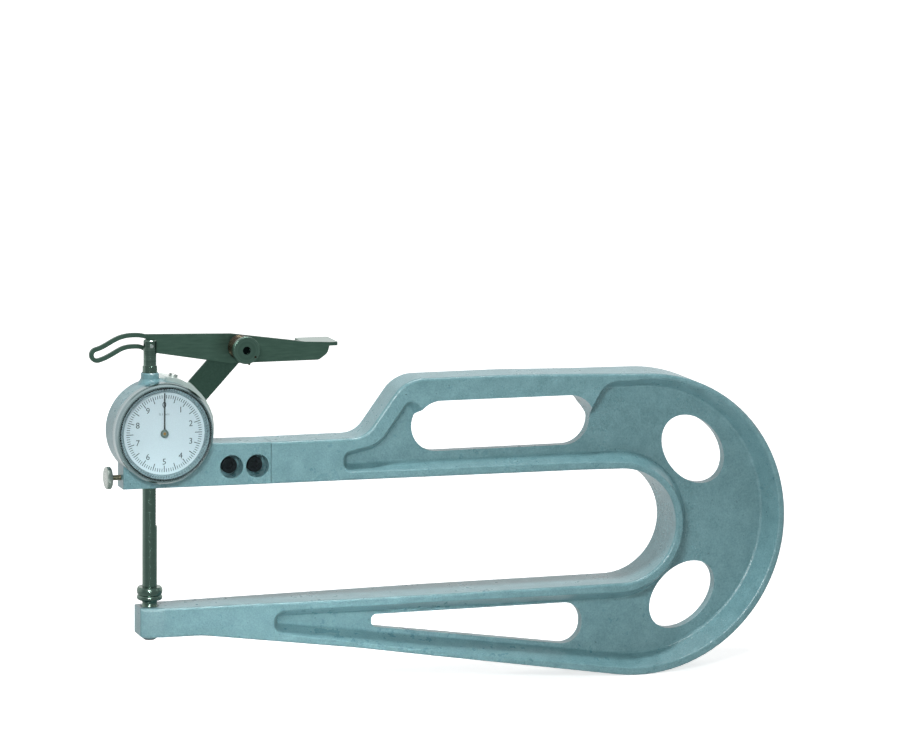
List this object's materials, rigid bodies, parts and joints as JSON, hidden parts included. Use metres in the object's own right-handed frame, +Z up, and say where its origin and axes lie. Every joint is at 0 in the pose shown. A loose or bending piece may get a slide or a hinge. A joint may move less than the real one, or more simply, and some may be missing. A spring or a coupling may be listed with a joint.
{
  "type": "deep-throat dial thickness gauge",
  "caption": "Deep-throat dial thickness gauge: C-shaped webbed casting, dial head with lifting lever, sliding spindle over a flat anvil.",
  "frame": {"origin": "centre of the anvil's measuring face, on the spindle's axis", "axes": "+X from the spindle into the throat, +Y away from the reader of the dial, +Z up along the spindle"},
  "size_m": [0.398, 0.0413, 0.2018],
  "materials": {
    "frame_paint": "casting with hammer-finish grey-green enamel",
    "head_paint": "casting with hammer-finish grey-green enamel",
    "bright_steel": "ground and polished",
    "black_steel": "black oxide",
    "lever_steel": "dark satin",
    "spring_steel": "dark wire",
    "hub_dark": "blued",
    "brass": "turned",
    "bezel_aluminium": "turned and polished",
    "dial_paint": "matt white, printed",
    "crystal": "clear"
  },
  "bodies": {
    "root": {"frame": "frame_paint", "head_casting": "head_paint", "lap_screws": "black_steel", "upper_bush": "brass", "lower_bush": "brass", "back_cover": "head_paint", "cover_screws": "bright_steel", "anvil": "bright_steel", "anvil_screw": "bright_steel", "movement_plate": "brass", "plate_screws": "bright_steel", "rear_bridge": "brass", "pillars": "brass", "hairspring": "spring_steel", "hairspring_stud": "brass", "lever_bracket": "lever_steel", "bracket_screws": "bright_steel", "pivot_screw": "lever_steel", "pivot_washer": "bright_steel", "pivot_nut": "bright_steel", "torsion_spring": "spring_steel"},
    "spindle": {"spindle": "bright_steel", "contact_disc": "bright_steel", "lift_pin": "bright_steel"},
    "pointer": {"pinion_arbor": "bright_steel", "pointer_hub": "hub_dark", "pointer": "hub_dark"},
    "take_up": {"take_up_wheel": "brass", "take_up_arbor": "bright_steel"},
    "bezel": {"bezel": "bezel_aluminium", "crystal": "crystal", "dial_face": "dial_paint", "dial_ring": "bezel_aluminium"},
    "lever": {"lever": "lever_steel", "spring_leg": "spring_steel"},
    "clamp": {"clamp_knob": "bright_steel", "clamp_screw": "bright_steel", "clamp_pad": "brass"}
  },
  "joints": [
    {"name": "spindle_slide", "type": "slide", "parent": "root", "child": "spindle", "axis": [0, 0, 1], "range_m": [0, 0.05]},
    {"name": "lever_turn", "type": "hinge", "parent": "root", "child": "lever", "pos_m": [0.0504, 0, 0.133], "axis": [0, 1, 0], "range_deg": [0, 47], "stiffness_Nm_per_rad": 0.05, "springref_deg": -34.38},
    {"name": "pointer_turn", "type": "hinge", "parent": "root", "child": "pointer", "pos_m": [0.00434, 0, 0.0902], "axis": [0, 1, 0], "range_deg": [-2, 1802]},
    {"name": "take_up_turn", "type": "hinge", "parent": "root", "child": "take_up", "pos_m": [0.01109, 0, 0.08345], "axis": [0, 1, 0], "range_deg": [-362, 2]},
    {"name": "bezel_turn", "type": "hinge", "parent": "root", "child": "bezel", "pos_m": [0.00434, 0, 0.0902], "axis": [0, 1, 0], "continuous": true},
    {"name": "clamp_turn", "type": "hinge", "parent": "root", "child": "clamp", "pos_m": [0, 0, 0.065], "axis": [-1, 0, 0], "range_deg": [0, 180]}
  ],
  "couplings": [
    {"joint": "lever_turn", "follows": "spindle_slide", "rad_per_m": 16.4},
    {"joint": "pointer_turn", "follows": "spindle_slide", "rad_per_m": 628.32},
    {"joint": "take_up_turn", "follows": "spindle_slide", "rad_per_m": -125.66}
  ]
}
